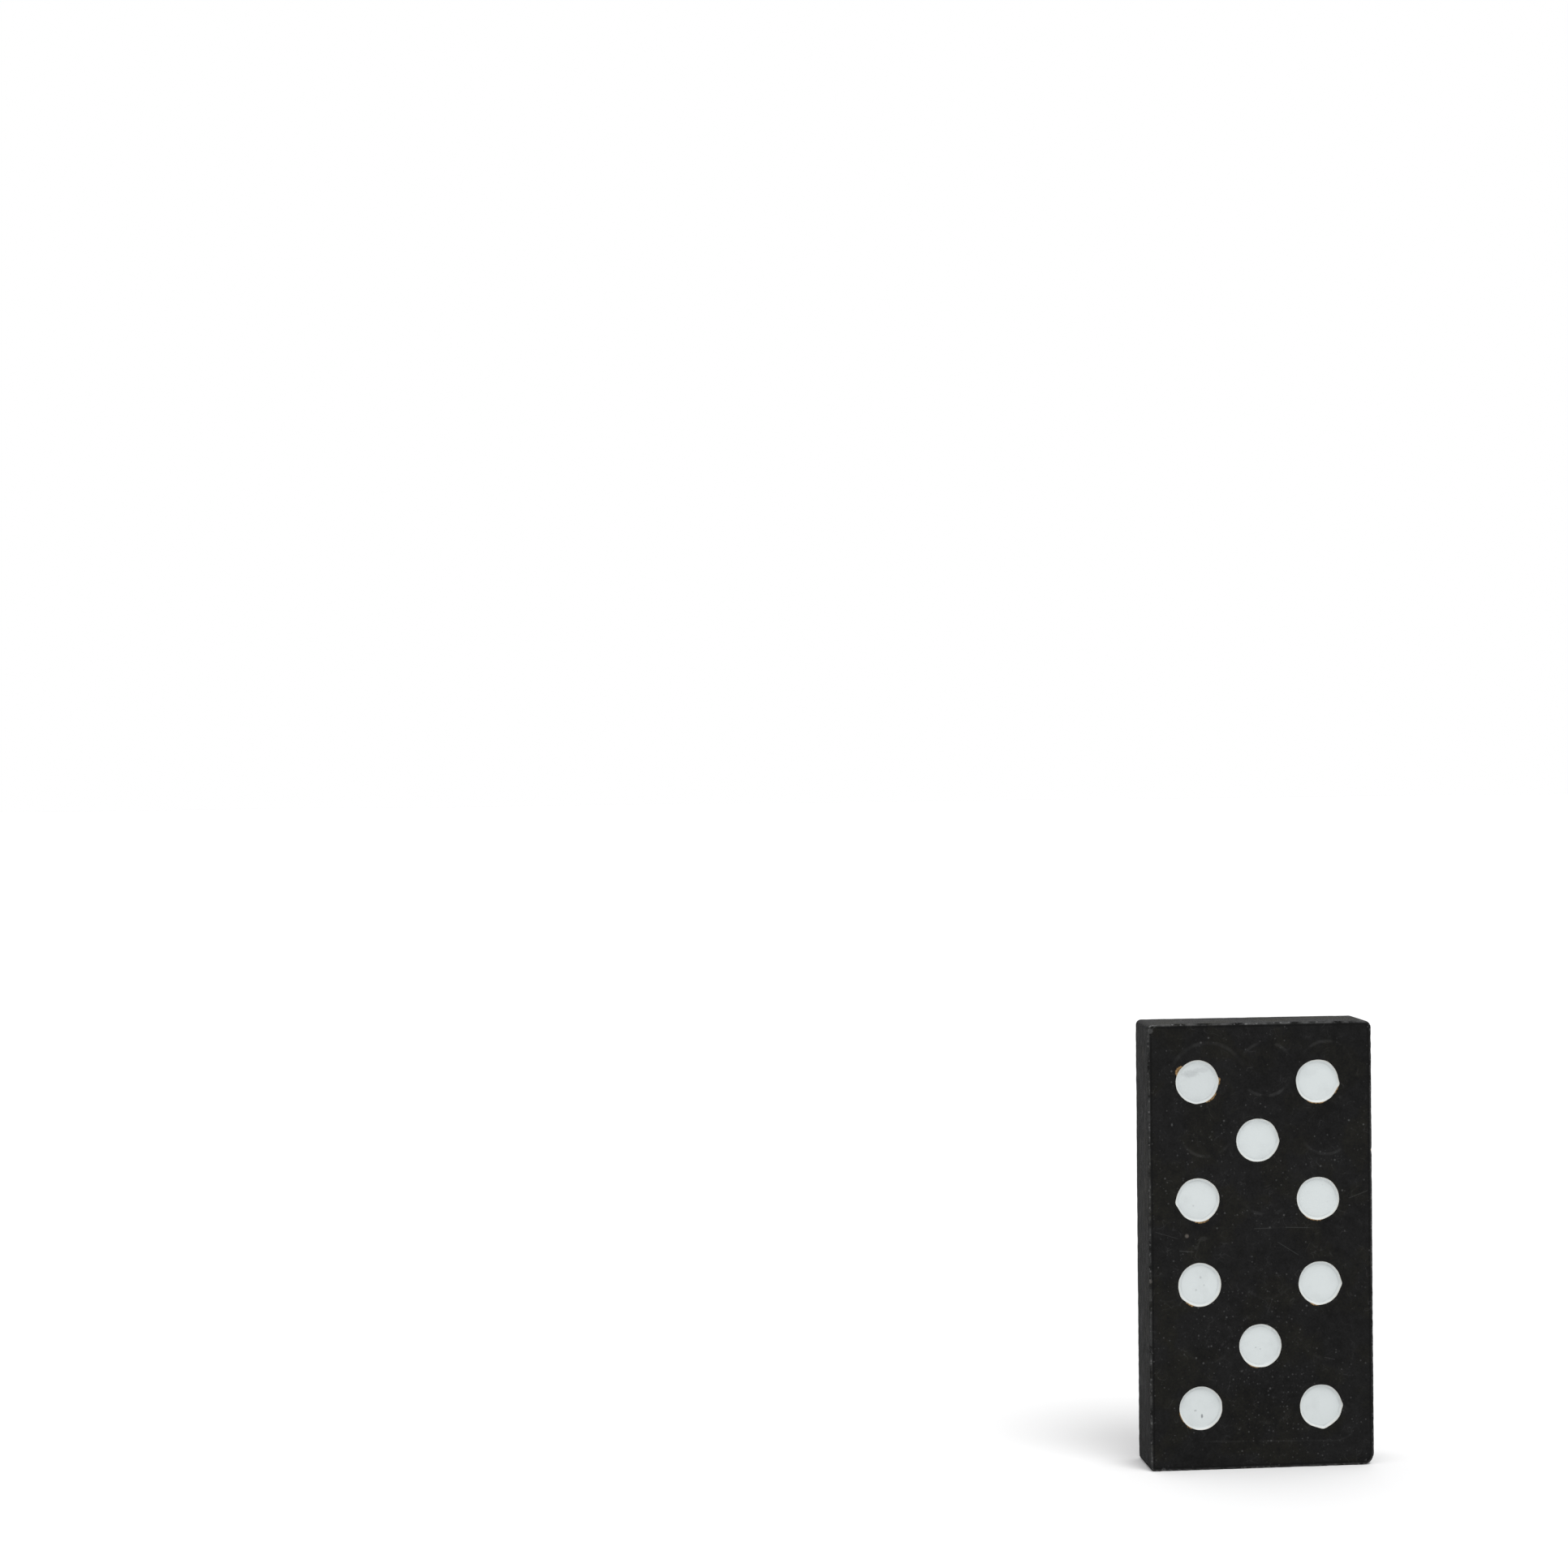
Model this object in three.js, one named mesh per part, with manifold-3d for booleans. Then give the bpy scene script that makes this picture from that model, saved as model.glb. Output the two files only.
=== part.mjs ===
// A double-five domino tile, standing on its short end.
//
// The tile is a flat block of fibreboard under black lacquer. Ten shallow round recesses are
// sunk into its front face, five in each half, and a disc of white paint fills the bottom of
// each one. Nothing on a tile moves.
//
// Millimetres. +Z runs up the long side, +X across the width, and the pips face -Y. The origin
// is the middle of the footprint.

import * as THREE from 'three';
import { mergeVertices } from 'three/addons/utils/BufferGeometryUtils.js';
import Module from 'manifold-3d';

// The block
const TILE_LENGTH = 39.2;
const TILE_WIDTH = 20;
const TILE_THICKNESS = 5;
const EDGE_BREAK = 0.15; // the sanded edges round the front and back faces

// How round each corner is, seen from the front. They are sanded by hand, so they differ.
const TOP_LEFT_RADIUS = 0.5;
const TOP_RIGHT_RADIUS = 0.65;
const BOTTOM_RIGHT_RADIUS = 1.0;
const BOTTOM_LEFT_RADIUS = 0.3;

// The recesses. Each half of the tile is punched by itself, a little out of true.
const PIP_DIAMETER = 3.8;
const RECESS_DEPTH = 0.55;
const SIDE_MARGIN = 4.63; // from a long side to the centres of the column beside it
const UPPER_END_MARGIN = 5.2; // from the top end to the centres of the row beside it
const UPPER_MIDDLE_MARGIN = 4.07; // from the middle of the tile up to the next row's centres
const LOWER_MIDDLE_MARGIN = 3.39; // from the middle of the tile down to the next row's centres
const LOWER_END_MARGIN = 5.35; // from the bottom end to the centres of the row beside it
const UPPER_SHIFT = -0.24; // how far the upper pattern sits to the right of the middle
const LOWER_SHIFT = -0.13; // how far the lower pattern sits to the right of the middle
const ROW_DROP = 0.12; // how much lower the right end of each row sits than its left end

// The paint
const PAINT_BELOW_FACE = 0.28; // from the tile's face to the flat middle of the paint
const PAINT_CREEP = 0.06; // how far the paint climbs at the wall of its recess
const CREEP_WIDTH = 0.35; // how far in from the wall the paint starts to climb

// Facets
const ROUND_SEGMENTS = 40;
const CORNER_SEGMENTS = 4;

const FACE_Y = -TILE_THICKNESS / 2;
const FLOOR_Y = FACE_Y + RECESS_DEPTH;
const PIP_RADIUS = PIP_DIAMETER / 2;

const lacquer = new THREE.MeshStandardMaterial({ color: 0x212122, roughness: 0.45, metalness: 0 });
const paint = new THREE.MeshStandardMaterial({ color: 0xd5dadb, roughness: 0.5, metalness: 0 });

const manifold = await Module();
manifold.setup();

// A closed geometry as a solid that can be cut and joined.
function toSolid(geometry) {
  const bare = geometry.clone();
  bare.deleteAttribute('normal');
  bare.deleteAttribute('uv');
  const merged = mergeVertices(bare);
  return new manifold.Manifold(
    new manifold.Mesh({
      numProp: 3,
      vertProperties: new Float32Array(merged.getAttribute('position').array),
      triVerts: new Uint32Array(merged.getIndex().array),
    }),
  );
}

function toGeometry(solid) {
  const mesh = solid.getMesh();
  const geometry = new THREE.BufferGeometry();
  geometry.setAttribute('position', new THREE.BufferAttribute(mesh.vertProperties, 3));
  geometry.setIndex(new THREE.BufferAttribute(mesh.triVerts, 1));
  geometry.computeVertexNormals();
  return geometry;
}

// The block's front outline, with its bottom edge on the ground: a quarter turn for each corner,
// from the bottom right one round to the bottom left one.
function tileOutline() {
  const corners = [
    { across: 1, up: 0, radius: BOTTOM_RIGHT_RADIUS },
    { across: 1, up: 1, radius: TOP_RIGHT_RADIUS },
    { across: -1, up: 1, radius: TOP_LEFT_RADIUS },
    { across: -1, up: 0, radius: BOTTOM_LEFT_RADIUS },
  ];
  const quarter = Math.PI / 2;
  const outline = new THREE.Shape();
  corners.forEach(({ across, up, radius }, turn) => {
    const x = across * (TILE_WIDTH / 2 - radius);
    const z = up ? TILE_LENGTH - radius : radius;
    outline.absarc(x, z, radius, (turn - 1) * quarter, turn * quarter, false);
  });
  outline.closePath();
  return outline;
}

// The plain block: extruded towards +Z, then tipped up so that its outline stands along Z.
function blockGeometry() {
  const block = new THREE.ExtrudeGeometry(tileOutline(), {
    depth: TILE_THICKNESS - 2 * EDGE_BREAK,
    bevelThickness: EDGE_BREAK,
    bevelSize: EDGE_BREAK,
    bevelOffset: -EDGE_BREAK,
    bevelSegments: 1,
    curveSegments: CORNER_SEGMENTS,
  });
  block.translate(0, 0, EDGE_BREAK - TILE_THICKNESS / 2);
  block.rotateX(Math.PI / 2);
  return block;
}

// A round solid about the Y axis, from [radius, y] points in order of rising y.
function turned(profile) {
  const points = profile.map(([radius, y]) => new THREE.Vector2(radius, y));
  return new THREE.LatheGeometry(points, ROUND_SEGMENTS);
}

// What is cut away for one pip: it starts well in front of the face and ends at the floor.
function recessCutter() {
  return turned([
    [0, FACE_Y - RECESS_DEPTH],
    [PIP_RADIUS, FACE_Y - RECESS_DEPTH],
    [PIP_RADIUS, FLOOR_Y],
    [0, FLOOR_Y],
  ]);
}

// The paint lies on the recess's floor and creeps up at its wall.
function paintDisc() {
  const level = FACE_Y + PAINT_BELOW_FACE;
  return turned([
    [0, level],
    [PIP_RADIUS - CREEP_WIDTH, level],
    [PIP_RADIUS, level - PAINT_CREEP],
    [PIP_RADIUS, FLOOR_Y],
    [0, FLOOR_Y],
  ]);
}

// The ten pip centres: a five-spot pattern in each half of the tile.
function pipPlaces() {
  const column = TILE_WIDTH / 2 - SIDE_MARGIN;
  const middle = TILE_LENGTH / 2;
  const halves = {
    upper: {
      top: TILE_LENGTH - UPPER_END_MARGIN,
      bottom: middle + UPPER_MIDDLE_MARGIN,
      shift: UPPER_SHIFT,
    },
    lower: {
      top: middle - LOWER_MIDDLE_MARGIN,
      bottom: LOWER_END_MARGIN,
      shift: LOWER_SHIFT,
    },
  };
  const spots = {
    top_left: [-1, 1],
    top_right: [1, 1],
    centre: [0, 0],
    bottom_left: [-1, -1],
    bottom_right: [1, -1],
  };
  const places = [];
  for (const [half, { top, bottom, shift }] of Object.entries(halves)) {
    for (const [spot, [across, up]] of Object.entries(spots)) {
      places.push({
        name: `pip_${half}_${spot}`,
        x: across * column + shift,
        z: (top + bottom) / 2 + (up * (top - bottom)) / 2 - (across * ROW_DROP) / 2,
      });
    }
  }
  return places;
}

const tile = new THREE.Group();
const places = pipPlaces();

let block = toSolid(blockGeometry());
for (const place of places) {
  block = block.subtract(toSolid(recessCutter().translate(place.x, 0, place.z)));
}
const body = new THREE.Mesh(toGeometry(block), lacquer);
body.name = 'tile_body';
tile.add(body);

for (const place of places) {
  const pip = new THREE.Mesh(paintDisc(), paint);
  pip.name = place.name;
  pip.position.set(place.x, 0, place.z);
  tile.add(pip);
}

export default tile;
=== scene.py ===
"""A double-five domino tile: black lacquer on fibreboard, and ten pips of white paint.

The script builds the finished surfaces round the tile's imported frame. Sizes in the frame are
metres. Marks, wear and shader patterns are worked out in millimetres, in the tile's own frame:
x across, z up from its foot, and y from front (low) to back (high).
"""

import math

import bmesh
import bpy
import numpy as np
from bpy.props import FloatProperty, FloatVectorProperty, PointerProperty
from mathutils import Matrix, Vector, noise


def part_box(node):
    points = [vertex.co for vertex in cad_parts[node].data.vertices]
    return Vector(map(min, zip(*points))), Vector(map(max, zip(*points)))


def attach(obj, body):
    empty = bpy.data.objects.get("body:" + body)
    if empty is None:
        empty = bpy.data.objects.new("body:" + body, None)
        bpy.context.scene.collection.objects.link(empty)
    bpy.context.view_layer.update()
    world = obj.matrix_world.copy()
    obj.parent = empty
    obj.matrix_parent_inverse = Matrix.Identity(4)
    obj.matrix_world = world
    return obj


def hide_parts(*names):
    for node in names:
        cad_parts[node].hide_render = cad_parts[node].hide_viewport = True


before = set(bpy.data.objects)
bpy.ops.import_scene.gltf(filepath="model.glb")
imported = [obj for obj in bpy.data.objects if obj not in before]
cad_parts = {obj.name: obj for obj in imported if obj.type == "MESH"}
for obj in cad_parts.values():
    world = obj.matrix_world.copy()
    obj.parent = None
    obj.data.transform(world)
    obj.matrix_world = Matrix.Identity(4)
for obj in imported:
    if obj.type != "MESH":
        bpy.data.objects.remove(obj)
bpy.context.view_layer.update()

bl_info = {
    "name": "Domino tile",
    "version": (1, 0, 0),
    "blender": (4, 5, 0),
    "location": "3D View > Sidebar > Domino",
    "description": "Builds a lacquered domino tile with painted pips, and a studio for it",
    "category": "Object",
}

MM = 0.001
BODY = "tile_body"
PIPS = sorted(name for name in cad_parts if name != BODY)
TILE_LOW, TILE_HIGH = (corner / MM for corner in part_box(BODY))
TILE_MIDDLE = (TILE_LOW + TILE_HIGH) / 2
TILE_HALF = (TILE_HIGH - TILE_LOW) / 2
FACE_Y = TILE_LOW.y
FAR = 99  # an upper bound that no length on the tile reaches

# How the block and the paint are divided into faces.
RIM_ANGLE = math.radians(60)  # edges that turn by more than this are the ones to round
ROUND_SEGMENTS = 3
PATCH_SHARE = 1.2  # half side of the square patch round a recess, in radii
PATCH_RINGS = 5
FLAT_RINGS = 8
CREEP_RINGS = 7
PAINT_STEPS = 96

# How deep the wear goes. A knock's depth is a share of its reach.
SCALLOP_DEPTH = 0.075
KNOCK_SHARE = 0.35

# A chip in a recess's lip: its depth, how far down the wall it fades out, how far down the board
# shows, and how softly it ends on the face.
LIP_CHIP_DEPTH = 0.05
LIP_CHIP_FADE = 0.3
LIP_CHIP_WALL = 0.45
LIP_CHIP_SOFTNESS = 0.08

# How the paint climbs its wall, and how far it reaches into the wall, so that no gap shows.
CREEP_POWER = 2.2
WALL_OVERLAP = 0.015

# The marks that the press left in the front face. It stamps each half with nine discs inside a
# border, a little off the pips that are punched later.
MARK_SHIFT = Vector((0.66, 0, 1.05))
MARK_RADIUS = 2.35
MARK_SLOPE = 0.35  # how wide the slope is from the face down into a mark
BORDER_HALF = (8.1, 8.15)
BORDER_CORNER = 2.2
BORDER_TURN = math.radians(-1.2)
BORDER_SHIFT = 0.2
UPPER_BORDER_DROP = 0.55
LOWER_BORDER_DROP = 1.3
WIDE_RING = ((-4.68, 34.1), 3.4)

# Fine scratches in the front face: both ends, and how wide each is.
SCRATCHES = (
    ((2.2, 21.15), (4.1, 21.08), 0.05),
    ((-0.6, 21.1), (0.9, 21.12), 0.05),
    ((1.5, 19.85), (3.3, 18.7), 0.05),
    ((7.9, 23.6), (9.55, 24.2), 0.05),
    ((-7.3, 19.3), (-6.1, 19.2), 0.07),
    ((5.6, 9.6), (6.5, 9.4), 0.05),
    ((-9.4, 21.0), (-7.5, 20.4), 0.04),
)

# Grit held in the coat of the front face: the place, and how far each grain reaches.
GRIT = (
    ((-6.65, 20.6), 0.24),
    ((-9.95, 16.7), 0.24),
    ((-0.9, 29.9), 0.11),
)

# Where the block's edges are knocked: the place, how far the knock reaches, and how much of it
# is bare board.
EDGE_CHIPS = (
    ((-9.8, -2.5, 38.7), 0.4, 0.0),
    ((-9.3, -2.5, 39.15), 0.36, 0.0),
    ((-8.9, -2.5, 0.1), 0.3, 0.3),
    ((9.3, -2.5, 0.4), 0.3, 0.2),
    ((10.0, -2.5, 27.75), 0.22, 1.0),
    ((1.1, -2.5, 39.2), 0.22, 0.0),
    ((5.9, -2.5, 39.2), 0.2, 0.0),
    ((9.75, 2.5, 0.35), 0.45, 1.0),
    ((10.0, 2.5, 11.0), 0.4, 1.0),
    ((10.0, 2.5, 29.5), 0.28, 0.4),
    ((-4.0, 2.5, 0.0), 0.34, 0.8),
)

# Where a recess's lip is broken out and the paint has run into the gap: the angle round the
# pip in degrees, how far it reaches, and how many degrees wide it is.
NICKS = {
    "pip_lower_bottom_right": ((2, 0.11, 9), (-82, 0.12, 12)),
    "pip_lower_top_right": ((-3, 0.11, 9), (-96, 0.03, 10)),
    "pip_upper_top_right": ((-9, 0.1, 8), (60, 0.05, 18)),
    "pip_upper_bottom_left": ((187, 0.11, 12), (-78, 0.06, 16)),
    "pip_upper_centre": ((-2, 0.07, 9),),
    "pip_lower_top_left": ((215, 0.07, 14),),
    "pip_upper_top_left": ((4, 0.05, 12), (-93, 0.04, 9)),
    "pip_lower_bottom_left": ((20, 0.06, 16),),
}

# Where the lacquer is chipped off a recess's lip and the board shows: as above.
LIP_CHIPS = {
    "pip_upper_top_left": ((148, 0.33, 18), (2, 0.12, 12), (-50, 0.1, 22)),
    "pip_upper_top_right": ((-95, 0.01, 30), (-25, 0.01, 16)),
    "pip_upper_bottom_left": ((-78, 0.08, 24),),
    "pip_upper_bottom_right": ((-105, 0.02, 32),),
    "pip_lower_top_left": ((-118, 0.12, 14),),
    "pip_lower_top_right": ((-106, 0.06, 14),),
    "pip_lower_centre": ((-110, 0.01, 22),),
    "pip_lower_bottom_left": ((200, 0.06, 20), (-125, 0.01, 14)),
}

# Spots of dirt in the paint: the place, how far each reaches across and up, and how dark it is.
PAINT_SPOTS = (
    ((-5.38, 4.7), (0.1, 0.2), 0.9),
    ((-5.95, 5.2), (0.13, 0.09), 0.5),
    ((-5.4, 16.9), (0.1, 0.13), 0.32),
    ((-5.8, 15.8), (0.1, 0.1), 0.3),
    ((-5.1, 16.2), (0.09, 0.09), 0.28),
    ((-0.52, 10.6), (0.09, 0.08), 0.34),
    ((-0.1, 10.45), (0.08, 0.08), 0.3),
    ((-6.0, 23.2), (0.1, 0.1), 0.25),
    ((-6.2, 34.8), (0.8, 0.35), 0.22),
    ((-5.2, 35.1), (0.7, 0.25), 0.15),
    ((-5.4, 34.0), (2.2, 2.2), 0.1),
)


class TileSizes(bpy.types.PropertyGroup):
    """How finely the tile is made, how soft its edges are, and how its marks and paint lie."""

    mesh_step: FloatProperty(
        name="Mesh Step",
        description="Side of the small squares that the block's faces are made of",
        default=0.2 * MM,
        min=0.1 * MM,
        unit="LENGTH",
        precision=5,
    )
    corner_radii: FloatVectorProperty(
        name="Corner Radii",
        description="Seen from the front: bottom left, bottom right, top left and top right",
        size=4,
        default=(0.3 * MM, 1.0 * MM, 0.5 * MM, 0.65 * MM),
        unit="LENGTH",
        precision=5,
    )
    edge_round: FloatProperty(
        name="Edge Round",
        description="How far the sanded edges round the front and back faces reach",
        default=0.11 * MM,
        unit="LENGTH",
        precision=5,
    )
    lip_round: FloatProperty(
        name="Lip Round",
        description="How far the lacquer rounds over into each recess",
        default=0.06 * MM,
        unit="LENGTH",
        precision=5,
    )
    mark_depth: FloatProperty(
        name="Mark Depth",
        description="Depth of the discs and the border that the press left",
        default=0.02 * MM,
        unit="LENGTH",
        precision=5,
    )
    unevenness: FloatProperty(
        name="Unevenness",
        description="How far the faces dip below flat",
        default=0.03 * MM,
        unit="LENGTH",
        precision=5,
    )
    paint_level: FloatProperty(
        name="Paint Level",
        description="How far the middle of a pip lies below the tile's face",
        default=0.28 * MM,
        unit="LENGTH",
        precision=5,
    )
    paint_creep: FloatProperty(
        name="Paint Creep",
        description="How far the paint climbs up the wall of its recess",
        default=0.17 * MM,
        unit="LENGTH",
        precision=5,
    )
    creep_width: FloatProperty(
        name="Creep Width",
        description="How far in from the wall the paint starts to climb",
        default=0.3 * MM,
        unit="LENGTH",
        precision=5,
    )


class TileColours(bpy.types.PropertyGroup):
    """The tile's colours."""

    lacquer: FloatVectorProperty(
        name="Lacquer",
        description="The black coat",
        subtype="COLOR",
        default=(0.0073, 0.0073, 0.0073),
        min=0,
        max=1,
    )
    # Also the colour that the top end is painted towards, as painted light from above.
    rubbed: FloatVectorProperty(
        name="Rubbed Lacquer",
        description="The coat where sanding and handling have greyed it",
        subtype="COLOR",
        default=(0.034, 0.034, 0.0345),
        min=0,
        max=1,
    )
    stained: FloatVectorProperty(
        name="Stained Lacquer",
        description="The greyed coat where it has a brown stain",
        subtype="COLOR",
        default=(0.037, 0.0355, 0.026),
        min=0,
        max=1,
    )
    # Also the light colour that the painted highlights on the edges and the press rims are mixed
    # towards.
    dust: FloatVectorProperty(
        name="Dust",
        description="Specks of dust held in the coat",
        subtype="COLOR",
        default=(0.112, 0.113, 0.113),
        min=0,
        max=1,
    )
    board: FloatVectorProperty(
        name="Board",
        description="The bare fibreboard under the coat",
        subtype="COLOR",
        default=(0.28, 0.175, 0.08),
        min=0,
        max=1,
    )
    paint: FloatVectorProperty(
        name="Paint",
        description="The pips' white paint",
        subtype="COLOR",
        default=(0.55, 0.586, 0.588),
        min=0,
        max=1,
    )
    paint_rim: FloatVectorProperty(
        name="Paint Rim",
        description="The paint where it thins out against the wall",
        subtype="COLOR",
        default=(0.57, 0.57, 0.535),
        min=0,
        max=1,
    )
    dirt: FloatVectorProperty(
        name="Dirt",
        description="Dirt in the paint",
        subtype="COLOR",
        default=(0.18, 0.19, 0.2),
        min=0,
        max=1,
    )


class Studio(bpy.types.PropertyGroup):
    """The floor, the lights and the camera."""

    floor_size: FloatProperty(
        name="Floor Size",
        description="Side of the square floor",
        default=6.0,
        unit="LENGTH",
    )
    floor_colour: FloatVectorProperty(
        name="Floor Colour",
        description="The pale floor",
        subtype="COLOR",
        default=(0.828, 0.828, 0.83),
        min=0,
        max=1,
    )
    sky: FloatProperty(
        name="Surroundings",
        description="How bright the pale surroundings are",
        default=1.0,
        min=0,
    )
    key_strength: FloatProperty(
        name="Key Strength",
        description="Strength of the broad light from above",
        default=1.35,
        min=0,
    )
    key_softness: FloatProperty(
        name="Key Softness",
        description="How wide the light looks from the tile",
        default=math.radians(30),
        subtype="ANGLE",
    )
    key_direction: FloatVectorProperty(
        name="Key Direction",
        description="The way from the tile to the light",
        subtype="DIRECTION",
        default=(0.22, -0.42, 0.87),
    )
    camera_place: FloatVectorProperty(
        name="Camera Place",
        description="Where the camera stands, from the middle of the tile's foot",
        subtype="TRANSLATION",
        default=(-64.04 * MM, -246.37 * MM, 63.61 * MM),
    )
    camera_aim: FloatVectorProperty(
        name="Camera Aim",
        description="What the camera looks at, from the middle of the tile's foot",
        subtype="TRANSLATION",
        default=(-41.05 * MM, 4.28 * MM, 60.49 * MM),
    )
    camera_roll: FloatProperty(
        name="Camera Roll",
        description="How far the camera leans",
        default=math.radians(-0.57),
        subtype="ANGLE",
    )
    lens: FloatProperty(
        name="Lens",
        description="Focal length of the camera",
        default=65.2,
        subtype="DISTANCE_CAMERA",
    )


def fade(value, low, high):
    """0 up to low, 1 from high, and smooth between. Works on NumPy values and on sockets."""
    share = ((value - low) / (high - low)).clip(0, 1)
    return share * share * (3 - 2 * share)


def beyond(value, middle):
    """0 before the middle and 1 after it, with a step too short to see."""
    return fade(value, middle - 0.01, middle + 0.01)


def distance(a, b):
    return (a * a + b * b) ** 0.5


def least(a, b):
    """The smaller of two values."""
    return (a + b - abs(a - b)) * 0.5


def turned(x, z, angle):
    """A place across and up, seen from a frame that is turned by an angle."""
    c, s = math.cos(angle), math.sin(angle)
    return x * c + z * s, z * c - x * s


def pip_centre(name):
    low, high = (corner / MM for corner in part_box(name))
    return (low + high) / 2


def half_pattern(half):
    """The middle of a half's five pips, and how far apart their columns and rows are."""
    left_top = pip_centre(f"pip_{half}_top_left")
    right_bottom = pip_centre(f"pip_{half}_bottom_right")
    middle = (left_top + right_bottom) / 2
    return middle, (right_bottom.x - left_top.x) / 2, (left_top.z - right_bottom.z) / 2


def pressed_marks(x, z):
    """Where a place on the front is among the pressed marks.

    Gives how far it is from the middle of its nearest disc, how much of that is upwards, and the
    disc's column and row, from -1 to 1. Then comes how far it is from the border line, and how
    far across and up from the border's middle.
    """
    lower, across, lower_up = half_pattern("lower")
    upper, _, upper_up = half_pattern("upper")
    in_upper = beyond(z, TILE_MIDDLE.z)
    row_gap = lower_up + in_upper * (upper_up - lower_up)
    from_x = x - (lower.x + MARK_SHIFT.x)
    from_z = z - MARK_SHIFT.z - (lower.z + in_upper * (upper.z - lower.z))
    column = (from_x / across).round().clip(-1, 1)
    row = (from_z / row_gap).round().clip(-1, 1)
    disc_up = from_z - row * row_gap
    to_disc = distance(from_x - column * across, disc_up)

    drop = LOWER_BORDER_DROP + in_upper * (UPPER_BORDER_DROP - LOWER_BORDER_DROP)
    side, up = turned(from_x - BORDER_SHIFT, from_z + drop, BORDER_TURN)
    out_x = (abs(side) - (BORDER_HALF[0] - BORDER_CORNER)).clip(0, FAR)
    out_z = (abs(up) - (BORDER_HALF[1] - BORDER_CORNER)).clip(0, FAR)
    to_border = abs(distance(out_x, out_z) - BORDER_CORNER)
    return (to_disc, disc_up, column, row), (to_border, abs(side), up)


def nearest_corner(x, z, radii):
    """The radius in millimetres of the corner that a place is nearest to."""
    low_left, low_right, high_left, high_right = (radius / MM for radius in radii)
    right = beyond(x, TILE_MIDDLE.x)
    high = beyond(z, TILE_MIDDLE.z)
    below = low_left + right * (low_right - low_left)
    above = high_left + right * (high_right - high_left)
    return below + high * (above - below)


def edge_distance(x, y, z, corner):
    """How far a place on the block's skin is from the nearest edge of its two broad faces."""
    inside_x = TILE_HALF.x - corner - abs(x - TILE_MIDDLE.x)
    inside_z = TILE_HALF.z - corner - abs(z - TILE_MIDDLE.z)
    outside = distance((0 - inside_x).clip(0, FAR), (0 - inside_z).clip(0, FAR))
    from_outline = abs(corner - outside + least(inside_x, inside_z).clip(0, FAR))
    from_face = TILE_HALF.y - abs(y - TILE_MIDDLE.y)
    return distance(from_outline, from_face)


# The block


def make_block(sizes):
    """A closed block with rounded corners, in small squares, its front at the tile's face."""
    low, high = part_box(BODY)
    middle = (low + high) / 2
    half = (high - low) / 2
    step = sizes.mesh_step
    bm = bmesh.new()
    upright = (
        Matrix.Translation((middle.x, low.y, middle.z))
        @ Matrix.Rotation(math.radians(90), 4, "X")
        @ Matrix.Diagonal((half.x, half.z, 1, 1))
    )
    columns, rows = round(2 * half.x / step), round(2 * half.z / step)
    bmesh.ops.create_grid(bm, x_segments=columns, y_segments=rows, size=1, matrix=upright)
    round_corners(bm, middle, half, sizes.corner_radii)

    back = bmesh.ops.extrude_face_region(bm, geom=bm.faces[:])["geom"]
    back_verts = [part for part in back if isinstance(part, bmesh.types.BMVert)]
    bmesh.ops.translate(bm, verts=back_verts, vec=(0, 2 * half.y, 0))
    through = [e for e in bm.edges if abs(e.verts[0].co.y - e.verts[1].co.y) > half.y]
    bmesh.ops.subdivide_edges(bm, edges=through, cuts=round(2 * half.y / step) - 1)

    bmesh.ops.recalc_face_normals(bm, faces=bm.faces)
    rims = [e for e in bm.edges if e.calc_face_angle() > RIM_ANGLE]
    round_edges(bm, rims, sizes.edge_round)
    return bm


def round_edges(bm, edges, reach):
    bmesh.ops.bevel(
        bm,
        geom=edges,
        offset=reach,
        segments=ROUND_SEGMENTS,
        profile=0.5,
        affect="EDGES",
        material=-1,
    )


def round_corners(bm, middle, half, radii):
    """Draws the squares in each corner into a quarter disc."""
    for vert in bm.verts:
        offset = vert.co - middle
        radius = radii[(offset.x > 0) + 2 * (offset.z > 0)]
        across = (abs(offset.x) - half.x + radius) / radius
        up = (abs(offset.z) - half.z + radius) / radius
        if min(across, up) <= 0:
            continue
        reach = max(across, up)
        angle = math.radians(45) * min(across, up) / reach
        along, aside = reach * math.cos(angle), reach * math.sin(angle)
        if across < up:
            along, aside = aside, along
        vert.co.x = middle.x + math.copysign(half.x - radius + along * radius, offset.x)
        vert.co.z = middle.z + math.copysign(half.z - radius + aside * radius, offset.z)


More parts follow.
